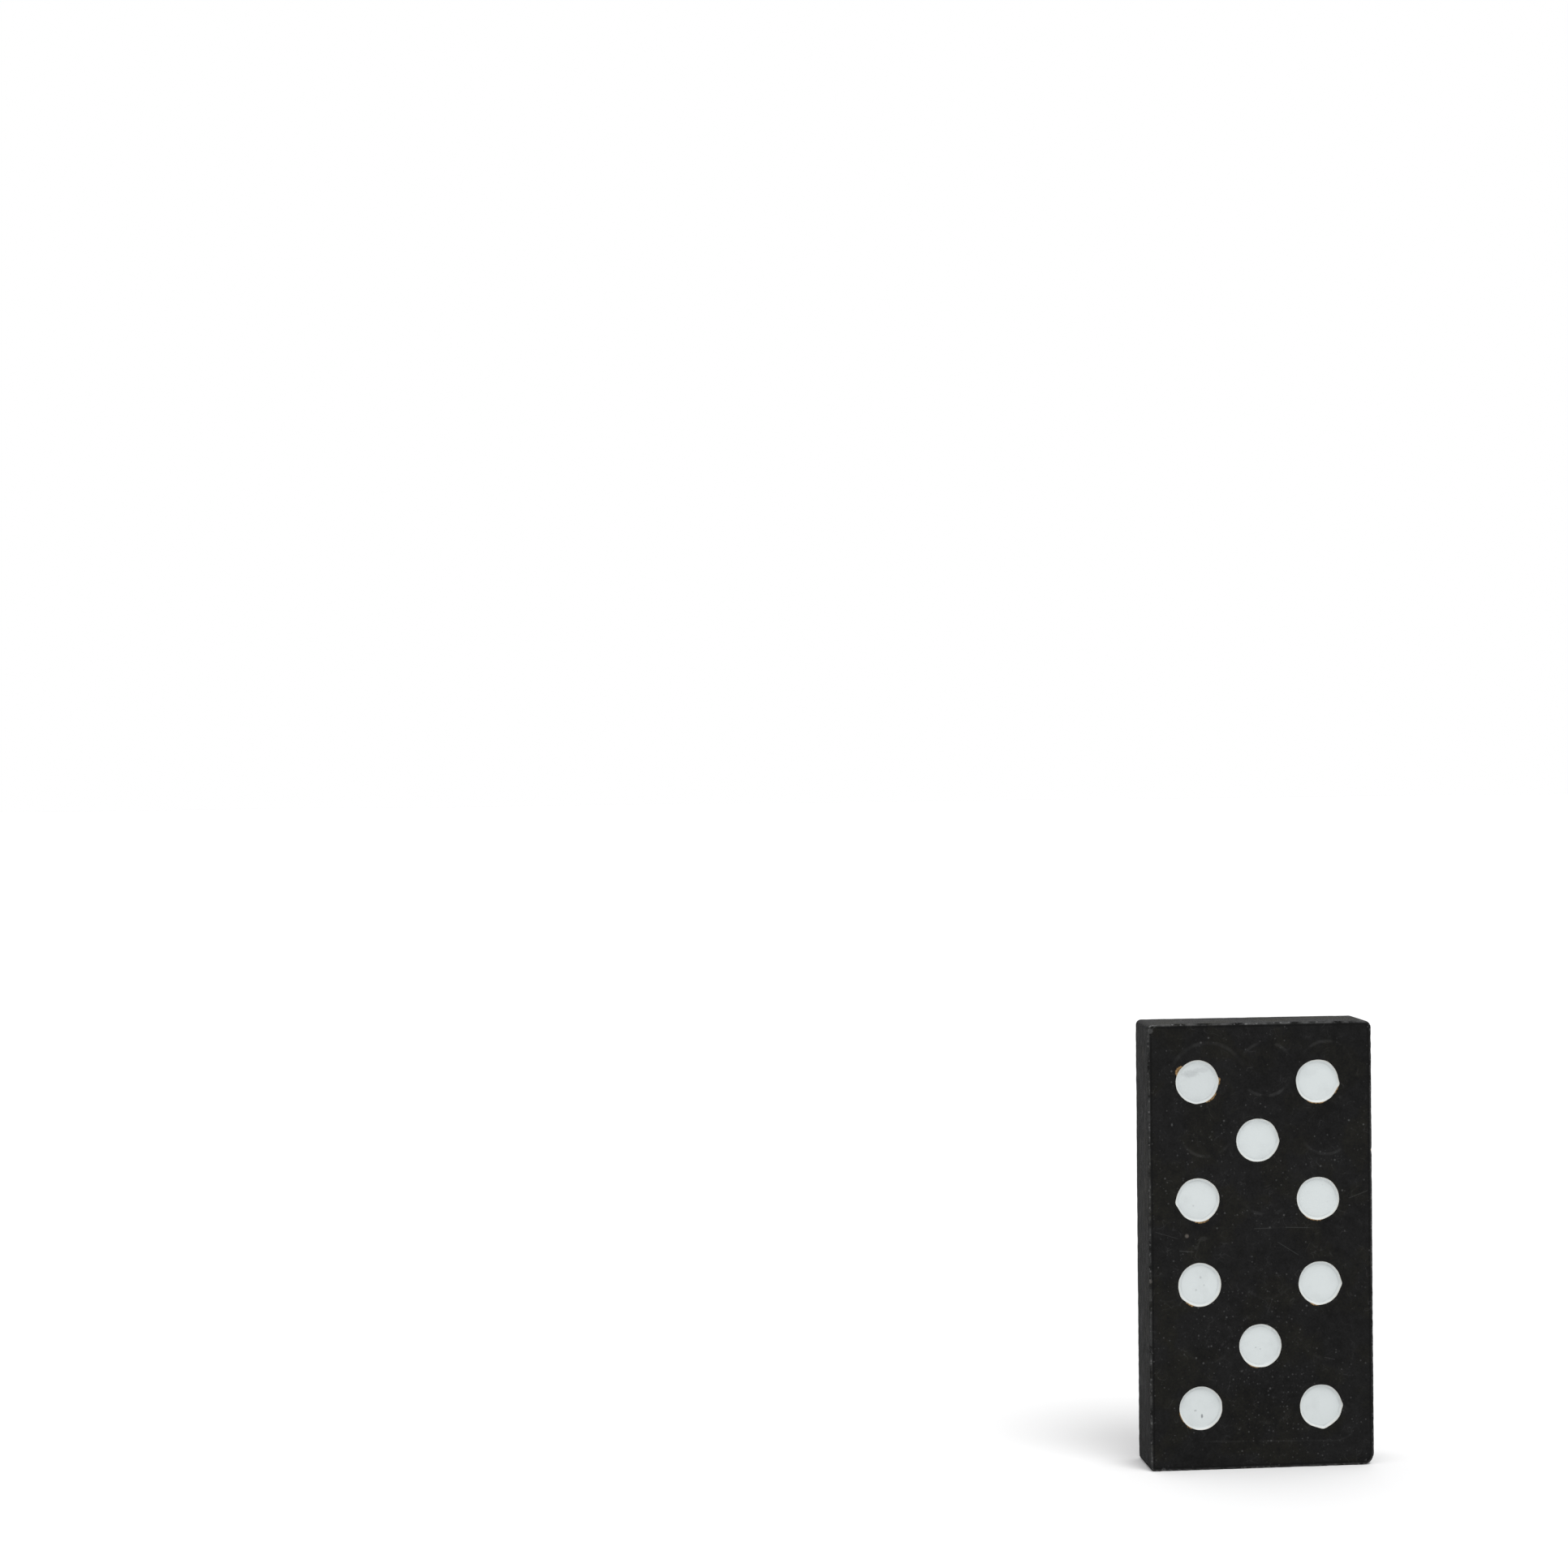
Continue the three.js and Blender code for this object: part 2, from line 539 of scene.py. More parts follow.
def sink_recess(bm, name, sizes):
    """Cuts a round recess for a pip into the front face."""
    low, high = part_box(name)
    centre = (low + high) / 2
    radius = (high.x - low.x) / 2
    face_low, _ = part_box(BODY)
    step = sizes.mesh_step
    reach = math.ceil(PATCH_SHARE * radius / step)
    cell_x = face_low.x + round((centre.x - face_low.x) / step) * step
    cell_z = face_low.z + round((centre.z - face_low.z) / step) * step

    patch = []
    for face in bm.faces:
        place = face.calc_center_median()
        near = max(abs(place.x - cell_x), abs(place.z - cell_z)) < reach * step
        if near and place.y < face_low.y + sizes.edge_round:
            patch.append(face)
    inside = set(patch)
    border = [e for f in patch for e in f.edges if not inside.issuperset(e.link_faces)]
    bmesh.ops.delete(bm, geom=patch, context="FACES")

    # The lip has as many edges as the patch's border. It starts at the recess's floor, since
    # two loops in one plane don't bridge cleanly.
    around = Matrix.Translation((centre.x, high.y, centre.z))
    circle = bmesh.ops.create_circle(
        bm,
        segments=8 * reach,
        radius=radius,
        matrix=around @ Matrix.Rotation(math.radians(90), 4, "X"),
    )["verts"]
    lip = list(dict.fromkeys(e for v in circle for e in v.link_edges))
    bridged = bmesh.ops.bridge_loops(bm, edges=border + lip)
    bmesh.ops.translate(bm, verts=circle, vec=(0, face_low.y - high.y, 0))
    spokes = [e for e in bridged["edges"] if e not in lip and e not in border]
    bmesh.ops.subdivide_edges(bm, edges=spokes, cuts=PATCH_RINGS)

    wall = bmesh.ops.extrude_edge_only(bm, edges=lip)["geom"]
    foot = [part for part in wall if isinstance(part, bmesh.types.BMVert)]
    bmesh.ops.translate(bm, verts=foot, vec=(0, high.y - face_low.y, 0))
    wall_edges = [part for part in wall if isinstance(part, bmesh.types.BMEdge)]
    foot_edges = [e for e in wall_edges if set(e.verts) <= set(foot)]
    bmesh.ops.contextual_create(bm, geom=foot_edges)
    round_edges(bm, lip, sizes.lip_round)


def outline_shift(name, angle):
    """How far a recess's wall stands out from a true circle at an angle, in millimetres."""
    turn = Vector((math.cos(angle), math.sin(angle), PIPS.index(name) * 3.7))
    shift = 0.05 * noise.noise(turn * 1.3) + 0.02 * noise.noise(turn * 4.0)
    for at, reach, spread in NICKS.get(name, ()):
        shift += reach * bell(angle, at, spread)
    return shift


def bell(angle, at, spread):
    """1 at an angle given in degrees, and falling off smoothly to both sides."""
    turn = (math.degrees(angle) - at + 180) % 360 - 180
    return math.exp(-((turn / spread) ** 2))


def shape_lips(mesh):
    """Makes the recesses a little irregular and chips their lips. Gives where board shows."""
    bare = np.zeros(len(mesh.vertices))
    centres = {name: pip_centre(name) for name in PIPS}
    radius = (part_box(PIPS[0])[1].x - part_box(PIPS[0])[0].x) / MM / 2
    for vert in mesh.vertices:
        place = vert.co / MM
        if place.y > FACE_Y + 1:
            continue
        for name, centre in centres.items():
            x, z = place.x - centre.x, place.z - centre.z
            out = math.hypot(x, z)
            if out > radius + 1 or out < 0.01:
                continue
            angle = math.atan2(z, x)
            near = float(1 - fade(np.float64(out), radius + 0.05, radius + 0.5))
            chip = 0.0
            for at, reach, spread in LIP_CHIPS.get(name, ()):
                band = 1 - min(max(out - radius, 0) / (reach + LIP_CHIP_SOFTNESS), 1)
                chip = max(chip, bell(angle, at, spread) * band ** 0.5)
            shift = outline_shift(name, angle) * near
            vert.co.x += x / out * shift * MM
            vert.co.z += z / out * shift * MM
            depth = place.y - FACE_Y
            vert.co.y += LIP_CHIP_DEPTH * chip * max(1 - depth / LIP_CHIP_FADE, 0) * MM
            if depth < LIP_CHIP_WALL:
                bare[vert.index] = max(bare[vert.index], chip)
    return bare


def shape_faces(mesh, sizes):
    """Presses the marks in, makes the faces slightly uneven and wears the edges.

    Gives where bare board shows in the knocks, and where the block is knocked at all.
    """
    count = len(mesh.vertices)
    co = np.empty(count * 3)
    mesh.vertices.foreach_get("co", co)
    co = co.reshape(-1, 3) / MM
    x, y, z = co.T
    corner = nearest_corner(x, z, sizes.corner_radii)

    rough = np.array([noise.noise(Vector(p) / 5.0) for p in co])
    fine = np.array([noise.noise(Vector(p) / 1.1 + Vector((9, 0, 0))) for p in co])
    dip = sizes.unevenness / MM * (0.5 + 0.35 * rough + 0.15 * fine).clip(0, 1)

    (to_disc, _, _, _), (to_border, _, _) = pressed_marks(x, z)
    disc = 1 - fade(to_disc, MARK_RADIUS - MARK_SLOPE, MARK_RADIUS)
    groove = 1 - fade(to_border, 0.0, MARK_SLOPE)
    marks = sizes.mark_depth / MM * (disc + 0.7 * groove).clip(0, 1)

    to_edge = edge_distance(x, y, z, corner)
    on_front = y < FACE_Y + 0.1
    on_back = y > TILE_HIGH.y - 0.1
    into = np.where(on_front, dip + marks * fade(to_edge, 0.3, 0.9), 0)
    co[:, 1] += into - np.where(on_back, dip, 0)

    # The edges of the two faces are worn back in small scallops.
    ragged = np.array([noise.noise(Vector(p) / 0.55 + Vector((0, 5, 0))) for p in co])
    worn = SCALLOP_DEPTH * (ragged + 0.6 * rough + 0.2).clip(0, 1)
    worn = worn * (1 - fade(to_edge, 0.08, 0.3))
    co[:, 1] += np.where(y < TILE_MIDDLE.y, worn, -worn)
    inward = 0.3 * dip + 0.15 * worn
    core_x = x.clip(TILE_LOW.x + corner, TILE_HIGH.x - corner)
    core_z = z.clip(TILE_LOW.z + corner, TILE_HIGH.z - corner)
    away = co[:, [0, 2]] - np.stack([core_x, core_z], 1)
    length = np.linalg.norm(away, axis=1)
    on_side = length > corner - 0.12
    share = np.where(on_side, inward / np.maximum(length, 0.01), 0)
    co[:, [0, 2]] -= away * share[:, None]

    # Knocks in the edges.
    bare = np.zeros(count)
    knocked = np.zeros(count)
    for place, reach, bareness in EDGE_CHIPS:
        away = co - np.array(place)
        near = 1 - np.linalg.norm(away * (1, 0.8, 1), axis=1) / reach + 0.35 * ragged
        near = near.clip(0, 1)
        inner = np.array((place[0] * 0.9, 0, TILE_MIDDLE.z + (place[2] - TILE_MIDDLE.z) * 0.95))
        way = inner - np.array(place)
        co += (way / np.linalg.norm(way)) * (KNOCK_SHARE * reach * near)[:, None]
        bare = np.maximum(bare, near * bareness)
        knocked = np.maximum(knocked, near)
    mesh.vertices.foreach_set("co", (co * MM).ravel())
    return bare, knocked


# Shaders


class Socket:
    """A shader socket. Arithmetic on it adds Math nodes, and node() adds any other node."""

    def __init__(self, tree, socket=None):
        self.tree = tree
        self.socket = socket

    def node(self, kind, settings=None, inputs=None, output=0):
        """Adds a node, sets it up, then gives its sockets their values or links."""
        made = self.tree.nodes.new("ShaderNode" + kind)
        for name, value in (settings or {}).items():
            setattr(made, name, value)
        for name, value in (inputs or {}).items():
            if isinstance(value, Socket):
                self.tree.links.new(value.socket, made.inputs[name])
            else:
                made.inputs[name].default_value = value
        return Socket(self.tree, made.outputs[output])

    def out(self, output):
        """Another output of the same node."""
        return Socket(self.tree, self.socket.node.outputs[output])

    def math(self, operation, *values):
        return self.node("Math", {"operation": operation}, dict(enumerate(values)))

    def scaled(self, factor):
        """A vector, made longer by a factor."""
        settings = {"operation": "SCALE"}
        return self.node("VectorMath", settings, {0: self, "Scale": factor}, "Vector")

    def split(self):
        """The three parts of a vector."""
        parts = self.node("SeparateXYZ", None, {0: self})
        return parts, parts.out(1), parts.out(2)

    def mix(self, first, second):
        """The first colour where this is 0, and the second where it is 1."""
        inputs = {0: self, 6: first, 7: second}
        return self.node("Mix", {"data_type": "RGBA", "clamp_factor": True}, inputs, 2)

    def clip(self, low, high):
        return self.node("Clamp", None, {0: self, 1: low, 2: high})

    def round(self):
        return self.math("ROUND", self)

    def __abs__(self):
        return self.math("ABSOLUTE", self)

    def __add__(self, other):
        return self.math("ADD", self, other)

    def __radd__(self, other):
        return self.math("ADD", other, self)

    def __sub__(self, other):
        return self.math("SUBTRACT", self, other)

    def __rsub__(self, other):
        return self.math("SUBTRACT", other, self)

    def __mul__(self, other):
        return self.math("MULTIPLY", self, other)

    def __rmul__(self, other):
        return self.math("MULTIPLY", other, self)

    def __truediv__(self, other):
        return self.math("DIVIDE", self, other)

    def __pow__(self, other):
        return self.math("POWER", self, other)

    def __lt__(self, other):
        return self.math("LESS_THAN", self, other)

    def __gt__(self, other):
        return self.math("GREATER_THAN", self, other)


def new_material(name):
    """An empty material, and a socket to start its shader from."""
    material = bpy.data.materials.new(name)
    material.use_nodes = True
    material.node_tree.nodes.clear()
    return material, Socket(material.node_tree)


def output_surface(graph, colour, roughness, gloss, height=None):
    """Ends a material's graph in its shader. The height is in millimetres."""
    inputs = {"Base Color": colour, "Roughness": roughness, "Specular IOR Level": gloss}
    if height is not None:
        inputs["Normal"] = graph.node("Bump", None, {"Height": height, "Distance": MM})
    surface = graph.node("BsdfPrincipled", None, inputs)
    out = graph.tree.nodes.new("ShaderNodeOutputMaterial")
    graph.tree.links.new(surface.socket, out.inputs["Surface"])


def grain(place, size, detail=2.0, roughness=0.5, stretch=(1, 1, 1), shift=0.0):
    """Cloudy noise from about 0.2 to 0.8, with features of a size in millimetres."""
    scale = tuple(1 / (size * s) for s in stretch)
    moved = place.node(
        "Mapping",
        {"vector_type": "POINT"},
        {"Vector": place, "Scale": scale, "Location": (shift, shift, shift)},
    )
    inputs = {"Vector": moved, "Scale": 1.0, "Detail": detail, "Roughness": roughness}
    return place.node("TexNoise", None, inputs)


def specks(place, cell, least_size, most_size, share):
    """Round specks, one for each cell of a size in millimetres, on that share of the cells."""
    cells = place.node(
        "TexVoronoi", {"feature": "F1"}, {"Vector": place, "Scale": 1 / cell, "Randomness": 1.0}
    )
    chance, size, _ = cells.out("Color").split()
    reach = (least_size + size * (most_size - least_size)) / cell
    return (1 - fade(cells, reach * 0.4, reach)) * (chance < share)


def scratch(x, z, start, end, width):
    """A thin line between two places on the front, fading out at its edges."""
    along = Vector(end) - Vector(start)
    length = along.length
    along.normalize()
    from_x, from_z = x - start[0], z - start[1]
    travel = (from_x * along.x + from_z * along.y).clip(0, length)
    away = distance(from_x - travel * along.x, from_z - travel * along.y)
    return 1 - fade(away, width * 0.3, width)


def press_rim_highlights(x, z, patch):
    """Painted highlights on the faint rims of the pressed marks, where stretches of them catch the
    light.

    Gives the rims, and then the insides of the discs that no pip was punched through.
    """
    (to_disc, disc_up, column, row), (to_border, border_side, border_up) = pressed_marks(x, z)
    seen = fade(patch, 0.38, 0.56)
    in_upper = z > TILE_MIDDLE.z
    unpunched = 1 - abs(abs(column) + abs(row) - 1)
    low_arc = fade(disc_up, -1.0, -2.1) * unpunched
    high_arc = fade(disc_up, 1.0, 2.1) * (row > 0.5) * (column > -0.5) * in_upper
    rim = (1 - fade(abs(to_disc - MARK_RADIUS), 0.04, 0.2)) * (low_arc + high_arc + 0.06)
    border = (1 - fade(to_border, 0.02, 0.12)) * (1 - fade(border_side, 6.2, 8.0))
    border = border * (border_up < 0)
    (ring_x, ring_z), ring_radius = WIDE_RING
    to_ring = distance(x - ring_x, z - ring_z) - ring_radius
    wide = (1 - fade(abs(to_ring), 0.05, 0.24)) * fade(z - ring_z, 1.0, 2.6) * 0.8
    in_disc = (1 - fade(to_disc, MARK_RADIUS - 0.6, MARK_RADIUS + 0.1)) * unpunched
    lines = rim * (in_upper * 0.45 + 0.35) + border * (0.55 - in_upper * 0.4)
    return lines.clip(0, 1) * seen + wide * (seen * 0.5 + 0.5), in_disc


def dust_specks(place, x, z, cloud):
    """Dust held in the coat: thickest low on the tile, and in clouds elsewhere."""
    low_cloud = 1 - fade(distance(x + 0.3, (z - 8.5) * 0.75), 2.5, 7.5)
    thick = (fade(cloud, 0.42, 0.62) * 0.45 + low_cloud * 0.65 + 0.12).clip(0, 1)
    large = specks(place, 0.66, 0.1, 0.2, thick * 0.3)
    middling = specks(place, 0.44, 0.08, 0.14, thick * 0.42)
    small = specks(place, 0.3, 0.06, 0.1, thick * 0.4)
    return (large * 0.36 + middling * 0.24 + small * 0.12).clip(0, 1)


def scuffs(place, patch):
    """Curled hairlines where the face has been rubbed."""
    first = grain(place, 1.5, detail=1.0, shift=31.0)
    second = grain(place, 0.9, detail=1.0, shift=47.0)
    lines = 1 - fade(abs(first - 0.5), 0.003, 0.014)
    lines = lines + (1 - fade(abs(second - 0.46), 0.003, 0.016))
    return lines.clip(0, 1) * fade(patch, 0.5, 0.66)


def placed_grit(x, z):
    grains = [(distance(x - at_x, z - at_z), reach) for (at_x, at_z), reach in GRIT]
    return sum(1 - fade(away, reach * 0.3, reach) for away, reach in grains)


def placed_scratches(x, z):
    return sum(scratch(x, z, *place_and_width) for place_and_width in SCRATCHES)


def lacquer_material(colours, sizes):
    material, start = new_material("black_lacquer")
    place = start.node("TexCoord", output="Object").scaled(1 / MM)
    x, y, z = place.split()
    on_front = y < FACE_Y + 0.12
    from_face = TILE_HALF.y - abs(y - TILE_MIDDLE.y)
    on_side = fade(from_face, 0.1, 0.2)
    on_top = fade(z, TILE_HIGH.z - 0.3, TILE_HIGH.z - 0.1)
    to_edge = edge_distance(x, y, z, nearest_corner(x, z, sizes.corner_radii))

    cloud = grain(place, 4.5, detail=4.0)
    patch = grain(place, 1.3, detail=3.0, shift=7.0)
    tooth = grain(place, 0.16, detail=3.0, shift=3.0)
    streak = grain(place, 0.3, detail=4.0, roughness=0.65, stretch=(1, 1, 5), shift=5.0)
    blotch = grain(place, 0.8, detail=4.0, roughness=0.6, shift=13.0)

    lines, in_disc = press_rim_highlights(x, z, patch)
    lines = lines * on_front
    in_disc = in_disc * on_front
    dust = dust_specks(place, x, z, cloud)
    hair = grain(place, 0.12, detail=1.0, stretch=(1, 1, 40), shift=11.0)
    hairline = fade(hair, 0.7, 0.78) * fade(cloud, 0.5, 0.6) * (1 - on_front)
    scratched = (placed_scratches(x, z) * on_front + hairline * 0.5).clip(0, 1)
    scuffed = scuffs(place, patch)

    # Along the edges: a painted dark line inside them, standing in for shade; painted bright points
    # and a lighter band on them, standing in for the light that the worn arrises catch, together
    # with real rubbing; and bare board in the chips.
    # Painted shade: a dark line just inside the edges of the front and back faces.
    inside = (1 - fade(abs(to_edge - 0.3), 0.03, 0.12)) * (1 - on_side)
    at_edge = 1 - fade(to_edge, 0.1, 0.24)
    # Painted highlights: bright points along the edges, where the bumpy arris catches the light,
    # with more of them on the top end.
    points = specks(place, 0.36, 0.1, 0.2, 0.8) * (1 - fade(to_edge, 0.08, 0.22))
    knock = start.node("Attribute", {"attribute_name": "knocked"}, output="Fac")
    knock = fade(knock + (tooth - 0.5) * 0.9, 0.25, 0.7)
    # Real rubbing together with a painted highlight along the edges, stronger on the top end.
    rub_and_edge_highlight = at_edge * (fade(patch + tooth * 0.4, 0.5, 0.8) + on_top * fade(patch, 0.35, 0.6))
    grit = placed_grit(x, z) * on_front
    chipped = start.node("Attribute", {"attribute_name": "bare_board"}, output="Fac")
    bare = fade(chipped + (tooth - 0.5) * 0.7, 0.42, 0.6)
    spot = (1 - fade(to_edge, 0.05, 0.14)) * fade(grain(place, 0.5, shift=21.0), 0.7, 0.75)

    mottle = (cloud - 0.5) * 0.25 + (patch - 0.5) * 0.22 + (blotch - 0.5) * 0.3
    mottle = mottle + (tooth - 0.5) * 0.35
    # Painted light: on_top makes the top end lighter, as if lit from above. The streaks and
    # blotches on the sides are the coat's own mottling.
    sides = (streak - 0.5) * 3.6 + (blotch - 0.5) * 1.6 + on_top * 0.95 + 0.02
    shade = (0.11 + mottle * 0.9 + on_side * sides - in_disc * 0.02 - inside * 0.12).clip(0, 1)
    stain = fade(grain(place, 3.2, detail=3.0, shift=17.0), 0.47, 0.6)
    stain = stain * (1 - on_side * 0.6)
    rubbed = stain.mix((*colours.rubbed, 1), (*colours.stained, 1))
    colour = shade.mix((*colours.lacquer, 1), rubbed)
    # Mixed towards the dust colour: real rubbing, knocks, scratches, scuffs, dust and grit,
    # together with the painted highlights on the edges and the press rims.
    marks = rub_and_edge_highlight * 0.26 + points * (0.48 + on_top * 0.42) + knock * 0.34 + lines * 0.1
    marks = marks + scratched * 0.15 + scuffed * 0.09 + dust + grit * 0.5
    colour = marks.clip(0, 1).mix(colour, (*colours.dust, 1))
    dark_board = tuple(part * 0.3 for part in colours.board)
    board = fade(tooth, 0.3, 0.7).mix((*dark_board, 1), (*colours.board, 1))
    colour = (bare + spot * 0.2 + grit * 0.1).clip(0, 1).mix(colour, board)

    rough = 0.6 + (cloud - 0.5) * 0.16 + (blotch - 0.5) * 0.12 - in_disc * 0.03
    rough = (rough + on_side * (streak - 0.5) * 0.3 + dust * 0.3 + bare * 0.3).clip(0.35, 0.95)
    height = tooth * 0.01 + patch * 0.014 + blotch * 0.012 + dust * 0.03 + points * 0.03
    height = height - (lines * 0.012 + scratched * 0.01 + scuffed * 0.006 + bare * 0.02)
    height = height + on_side * (streak * 0.16 + blotch * 0.1)
    output_surface(start, colour, rough, 0.02, height)
    return material


def paint_material(colours):
    material, start = new_material("white_pip_paint")
    place = start.node("TexCoord", output="Object").scaled(1 / MM)
    x, _, z = place.split()
    from_wall = start.node("Attribute", {"attribute_name": "from_wall"}, output="Fac")
    cloud = grain(place, 1.4, detail=3.0)
    tooth = grain(place, 0.14, detail=2.0, shift=4.0)

    rim = 1 - fade(from_wall + (cloud - 0.5) * 0.12, 0.02, 0.14)
    # A thin grey ring where the paint starts to climb its wall.
    foot = 1 - fade(abs(from_wall - 0.24 + (cloud - 0.5) * 0.16), 0.02, 0.08)
    dirt = foot * fade(grain(place, 1.0, shift=9.0), 0.35, 0.6) * 0.18
    dirt = dirt + fade(cloud, 0.45, 0.75) * 0.08 + (tooth - 0.5) * 0.12
    dirt = dirt + specks(place, 0.5, 0.05, 0.09, 0.2) * 0.2
    wobble = (grain(place, 0.2, shift=2.0) - 0.5) * 0.8
    for (at_x, at_z), (across, up), strength in PAINT_SPOTS:
        away = distance((x - at_x) / across, (z - at_z) / up) + wobble
        dirt = dirt + (1 - fade(away, 0.5, 1.2)) * strength
    colour = rim.mix((*colours.paint, 1), (*colours.paint_rim, 1))
    colour = dirt.clip(0, 1).mix(colour, (*colours.dirt, 1))

    height = tooth * 0.003 + cloud * 0.012
    output_surface(start, colour, 0.42 + (cloud - 0.5) * 0.2, 0.4, height)
    return material


def floor_material(colour):
    material, start = new_material("pale_floor")
    output_surface(start, (*colour, 1), 0.9, 0.1)
    return material


def add_object(name, bm, material):
    """A finished mesh as an object at the origin, with smooth shading."""
    mesh = bpy.data.meshes.new(name)
    bm.to_mesh(mesh)
    bm.free()
    for polygon in mesh.polygons:
        polygon.use_smooth = True
    mesh.materials.append(material)
    made = bpy.data.objects.new(name, mesh)
    bpy.context.scene.collection.objects.link(made)
    return made


def add_values(mesh, name, values):
    """Keeps one number for each point of a mesh, for its material."""
    attribute = mesh.attributes.new(name, "FLOAT", "POINT")
    attribute.data.foreach_set("value", np.asarray(values, np.float32))


class DOMINO_OT_tile_body(bpy.types.Operator):
    """Build the lacquered block with its ten recesses"""

    bl_idname = "domino.tile_body"
    bl_label = "Build Tile Body"

    def execute(self, context):
        sizes = context.scene.domino_sizes
        bm = make_block(sizes)
        for name in PIPS:
            sink_recess(bm, name, sizes)
        bmesh.ops.recalc_face_normals(bm, faces=bm.faces)
        material = lacquer_material(context.scene.domino_colours, sizes)
        tile = add_object("lacquered_block", bm, material)
        bare, knocked = shape_faces(tile.data, sizes)
        bare = np.maximum(bare, shape_lips(tile.data))
        add_values(tile.data, "bare_board", bare)
        add_values(tile.data, "knocked", knocked)
        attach(tile, "root")
        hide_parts(BODY)
        return {"FINISHED"}


class DOMINO_OT_pips(bpy.types.Operator):
    """Pour the white paint into each recess"""

    bl_idname = "domino.pips"
    bl_label = "Pour Pips"

    def execute(self, context):
        sizes = context.scene.domino_sizes
        material = paint_material(context.scene.domino_colours)
        for name in PIPS:
            pip = pour_pip(name, material, sizes)
            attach(pip, "root")
            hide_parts(name)
        return {"FINISHED"}


def pour_pip(name, material, sizes):
    """One disc of paint: level in the middle, and drawn up the wall round it."""
    low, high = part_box(name)
    centre = (low + high) / 2
    radius = (high.x - low.x) / 2
    face_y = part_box(BODY)[0].y
    level = face_y + sizes.paint_level
    start = radius - sizes.creep_width

    rings = [(0, level)]
    rings += [(start * ring / FLAT_RINGS, level) for ring in range(1, FLAT_RINGS + 1)]
    for ring in range(1, CREEP_RINGS + 1):
        climb = sizes.paint_creep * (ring / CREEP_RINGS) ** CREEP_POWER
        rings.append((start + sizes.creep_width * ring / CREEP_RINGS, level - climb))
    rings += [(radius, high.y), (0, high.y)]

    bm = bmesh.new()
    verts = [bm.verts.new((centre.x + r, y, centre.z)) for r, y in rings]
    edges = [bm.edges.new(pair) for pair in zip(verts, verts[1:])]
    bmesh.ops.spin(
        bm,
        geom=verts + edges,
        cent=centre,
        axis=(0, 1, 0),
        angle=math.radians(360),
        steps=PAINT_STEPS,
        use_merge=True,
    )
    bmesh.ops.remove_doubles(bm, verts=bm.verts, dist=0.001 * MM)
    bmesh.ops.recalc_face_normals(bm, faces=bm.faces)

    from_wall = []
    for vert in bm.verts:
        x, z = (vert.co.x - centre.x) / MM, (vert.co.z - centre.z) / MM
        out = math.hypot(x, z)
        from_wall.append(radius / MM - out)
        if out < 0.01:
            continue
        angle = math.atan2(z, x)
        share = out * MM / radius
        shift = (outline_shift(name, angle) + WALL_OVERLAP) * share**3
        vert.co.x += x / out * shift * MM
        vert.co.z += z / out * shift * MM
        wave = noise.noise(Vector((x, z, PIPS.index(name) * 5.3)) * 0.8)
        if vert.co.y < level + 0.01 * MM:
            vert.co.y += 0.015 * wave * MM
            turn = Vector((math.cos(angle), math.sin(angle), PIPS.index(name) * 2.9))
            vert.co.y += 0.06 * noise.noise(turn * 1.6) * share**8 * MM
    pip = add_object(name.replace("pip", "paint"), bm, material)
    add_values(pip.data, "from_wall", from_wall)
    return pip


class DOMINO_OT_stage(bpy.types.Operator):
    """Set up the pale floor, the soft lights and the camera"""

    bl_idname = "domino.stage"
    bl_label = "Set Up Stage"

    def execute(self, context):
        studio = context.scene.domino_studio
        add_floor(studio)
        add_surroundings(studio)
        add_key_light(studio)
        add_camera(studio)
        context.scene.view_settings.view_transform = "Standard"
        return {"FINISHED"}


def add_floor(studio):
    bm = bmesh.new()
    bmesh.ops.create_grid(bm, x_segments=8, y_segments=8, size=studio.floor_size / 2)
    floor = add_object("floor", bm, floor_material(studio.floor_colour))


def add_surroundings(studio):
    world = bpy.data.worlds.new("surroundings")
    world.use_nodes = True
    world.node_tree.nodes["Background"].inputs["Color"].default_value = (1, 1, 1, 1)
    world.node_tree.nodes["Background"].inputs["Strength"].default_value = studio.sky
    bpy.context.scene.world = world


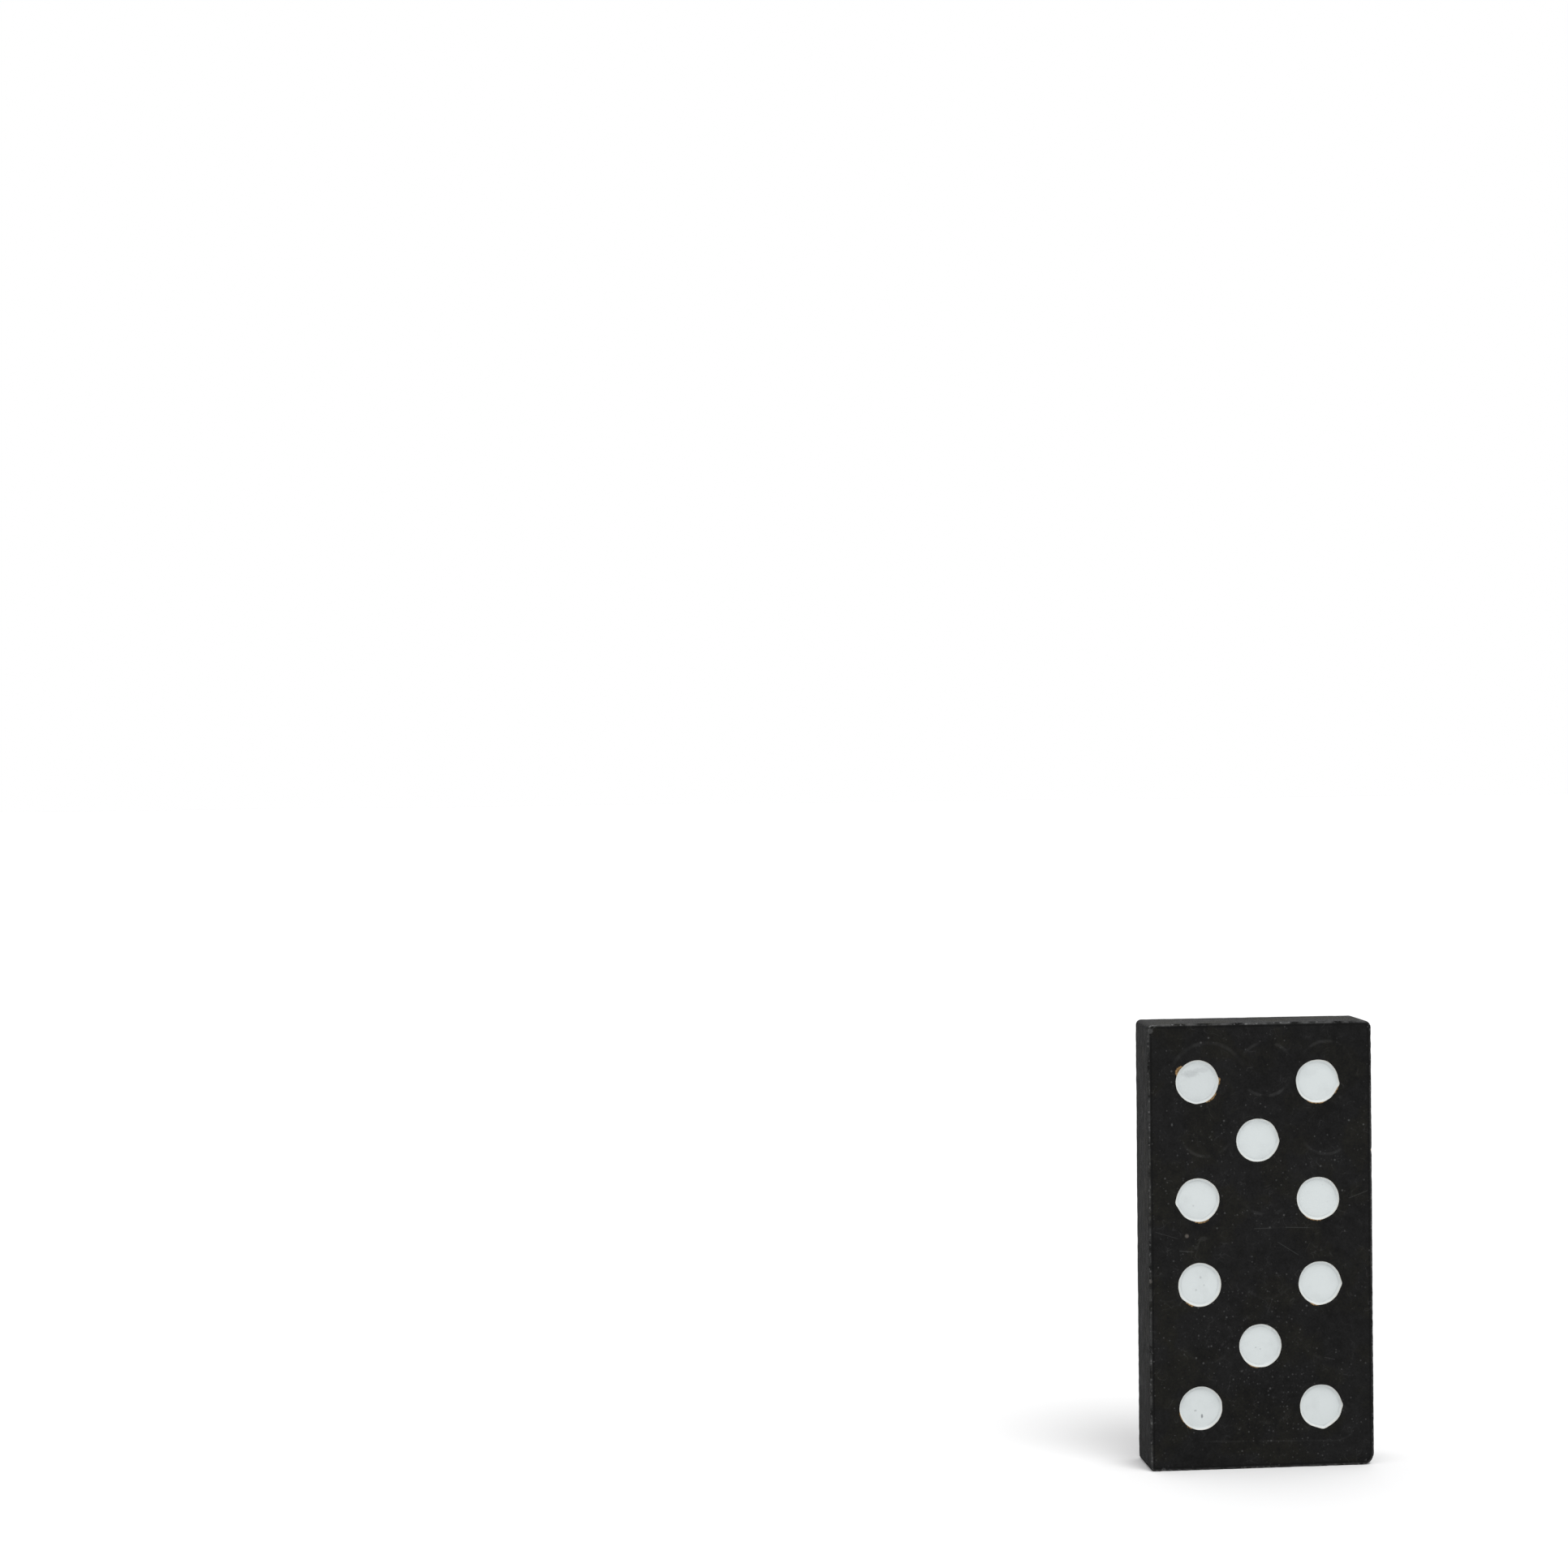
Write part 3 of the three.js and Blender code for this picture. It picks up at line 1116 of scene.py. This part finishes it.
def add_key_light(studio):
    """A broad light from above, in front and a little to the right, the same all over the floor."""
    light = bpy.data.lights.new("key_light", "SUN")
    light.energy = studio.key_strength
    light.angle = studio.key_softness
    lamp = bpy.data.objects.new("key_light", light)
    lamp.rotation_euler = Vector(studio.key_direction).to_track_quat("Z", "Y").to_euler()
    bpy.context.scene.collection.objects.link(lamp)


def add_camera(studio):
    data = bpy.data.cameras.new("camera")
    data.lens = studio.lens
    data.clip_start = 1 * MM
    camera = bpy.data.objects.new("camera", data)
    foot = Vector((TILE_MIDDLE.x, TILE_MIDDLE.y, TILE_LOW.z)) * MM
    place = foot + Vector(studio.camera_place)
    aim = foot + Vector(studio.camera_aim)
    turn = (aim - place).to_track_quat("-Z", "Y").to_matrix().to_4x4()
    lean = Matrix.Rotation(studio.camera_roll, 4, "Z")
    camera.matrix_world = Matrix.Translation(place) @ turn @ lean
    bpy.context.scene.collection.objects.link(camera)
    bpy.context.scene.camera = camera


class DOMINO_PT_panel(bpy.types.Panel):
    """Lists the tile's pieces, sizes and colours"""

    bl_idname = "DOMINO_PT_panel"
    bl_label = "Domino Tile"
    bl_space_type = "VIEW_3D"
    bl_region_type = "UI"
    bl_category = "Domino"

    def draw(self, context):
        layout = self.layout
        for operator in OPERATORS:
            layout.operator(operator.bl_idname)
        for group in GROUPS:
            box = layout.box()
            box.label(text=group.replace("_", " ").title())
            values = getattr(context.scene, group)
            for name in values.__annotations__:
                box.prop(values, name)


OPERATORS = (DOMINO_OT_stage, DOMINO_OT_tile_body, DOMINO_OT_pips)
GROUPS = {
    "domino_sizes": TileSizes,
    "domino_colours": TileColours,
    "domino_studio": Studio,
}


def register():
    for group, kind in GROUPS.items():
        bpy.utils.register_class(kind)
        setattr(bpy.types.Scene, group, PointerProperty(type=kind))
    for operator in OPERATORS:
        bpy.utils.register_class(operator)
    bpy.utils.register_class(DOMINO_PT_panel)


def unregister():
    bpy.utils.unregister_class(DOMINO_PT_panel)
    for operator in OPERATORS:
        bpy.utils.unregister_class(operator)
    for group, kind in GROUPS.items():
        delattr(bpy.types.Scene, group)
        bpy.utils.unregister_class(kind)


def main():
    register()
    bpy.ops.domino.stage()
    bpy.ops.domino.tile_body()
    bpy.ops.domino.pips()


if __name__ == "__main__":
    main()
